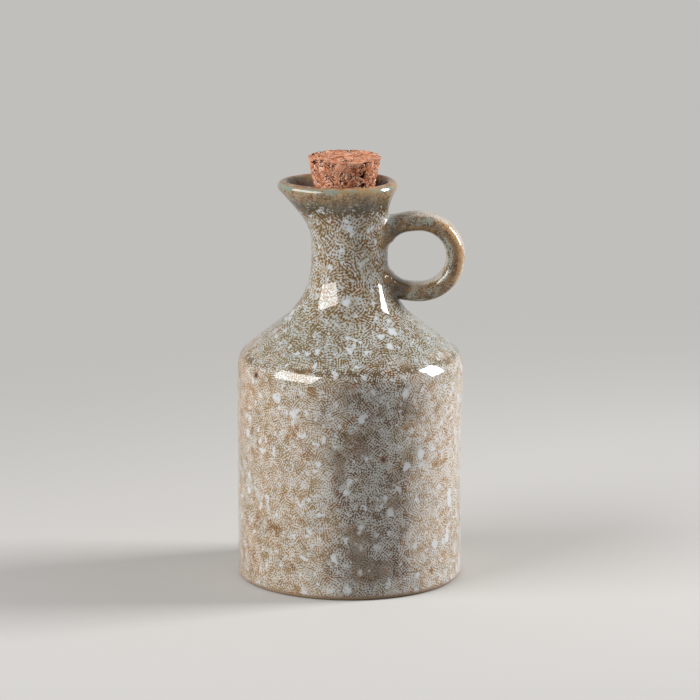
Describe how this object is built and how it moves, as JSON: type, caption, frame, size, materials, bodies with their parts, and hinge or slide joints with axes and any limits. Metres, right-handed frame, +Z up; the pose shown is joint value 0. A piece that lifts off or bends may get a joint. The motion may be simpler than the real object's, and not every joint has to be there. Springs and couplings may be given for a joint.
{
  "type": "oil dispenser bottle",
  "caption": "Glazed stoneware oil bottle with a cylindrical body, sloping shoulder, narrow neck, pulled pouring lip, ring handle on the neck and a tapered cork that lifts out.",
  "frame": {"origin": "middle of the round foot, on the surface that the bottle stands on", "axes": "+Z up along the bottle's axis, +X towards the ring handle, -X towards the pouring lip"},
  "size_m": [0.0871, 0.086, 0.1631],
  "materials": {
    "glazed_stoneware": "gloss",
    "pressed_cork": "matte"
  },
  "bodies": {
    "bottle": {"stoneware_bottle": "glazed_stoneware", "ring_handle": "glazed_stoneware"},
    "cork": {"cork_stopper": "pressed_cork"}
  },
  "joints": [
    {"name": "cork_lift", "type": "slide", "parent": "bottle", "child": "cork", "axis": [0, 0, 1], "range_m": [0, 0.0355]}
  ]
}
